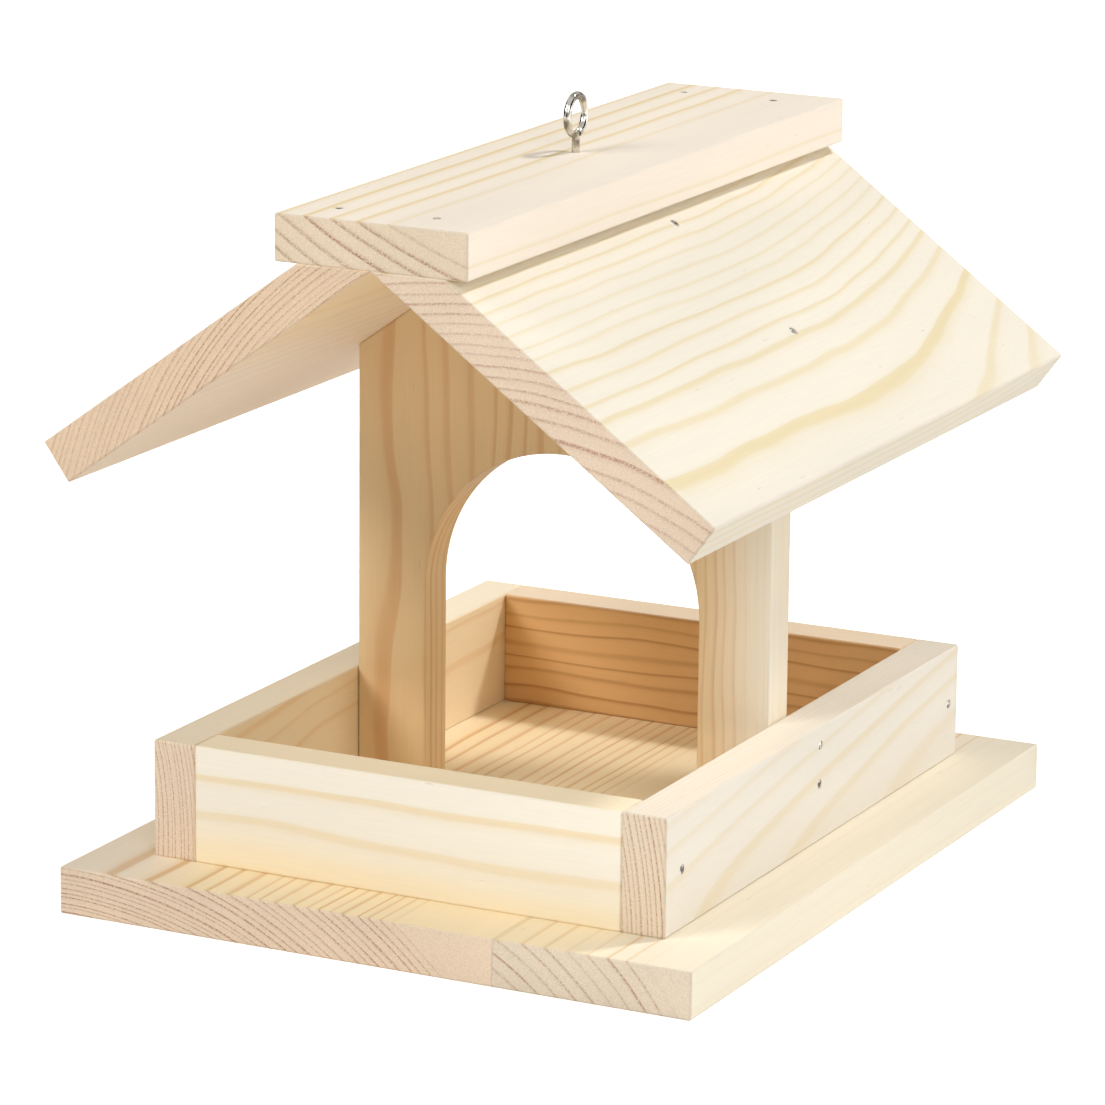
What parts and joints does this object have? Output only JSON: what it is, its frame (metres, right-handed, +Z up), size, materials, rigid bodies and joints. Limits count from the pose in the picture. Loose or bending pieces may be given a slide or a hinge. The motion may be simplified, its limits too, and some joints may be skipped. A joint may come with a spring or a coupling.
{
  "type": "bird table",
  "caption": "Hanging wooden bird table: a tray with a low rim under a gable roof, carried by one upright panel with an arched doorway, and hung by a screw eye.",
  "frame": {"origin": "centre of the base board's underside, where the table stands", "axes": "+Z up, X across the roof's two slopes, Y along the ridge with the front at -Y"},
  "size_m": [0.1852, 0.224, 0.2033],
  "materials": {
    "pine_base_left": "planed, untreated pine",
    "pine_base_right": "planed, untreated pine",
    "pine_ridge": "planed, untreated pine",
    "pine_rim_back": "planed, untreated pine",
    "pine_rim_front": "planed, untreated pine",
    "pine_rim_left": "planed, untreated pine",
    "pine_rim_right": "planed, untreated pine",
    "pine_roof_left": "planed, untreated pine",
    "pine_roof_right": "planed, untreated pine",
    "pine_panel": "planed, untreated pine",
    "nickel_wire": "bright nickel plate",
    "nail_steel": "bright drawn steel"
  },
  "bodies": {
    "root": {"base_nails_left": "nail_steel", "base_nails_middle": "nail_steel", "base_nails_right": "nail_steel", "base_stave_left": "pine_base_left", "base_stave_right": "pine_base_right", "leg_nails_left": "nail_steel", "leg_nails_right": "nail_steel", "ridge_board": "pine_ridge", "ridge_nails_left": "nail_steel", "ridge_nails_right": "nail_steel", "rim_back": "pine_rim_back", "rim_front": "pine_rim_front", "rim_left": "pine_rim_left", "rim_right": "pine_rim_right", "roof_left": "pine_roof_left", "roof_nails_left": "nail_steel", "roof_nails_right": "nail_steel", "roof_right": "pine_roof_right", "screw_eye": "nickel_wire", "slat_nails_left": "nail_steel", "slat_nails_right": "nail_steel", "upright_panel": "pine_panel"}
  },
  "joints": []
}
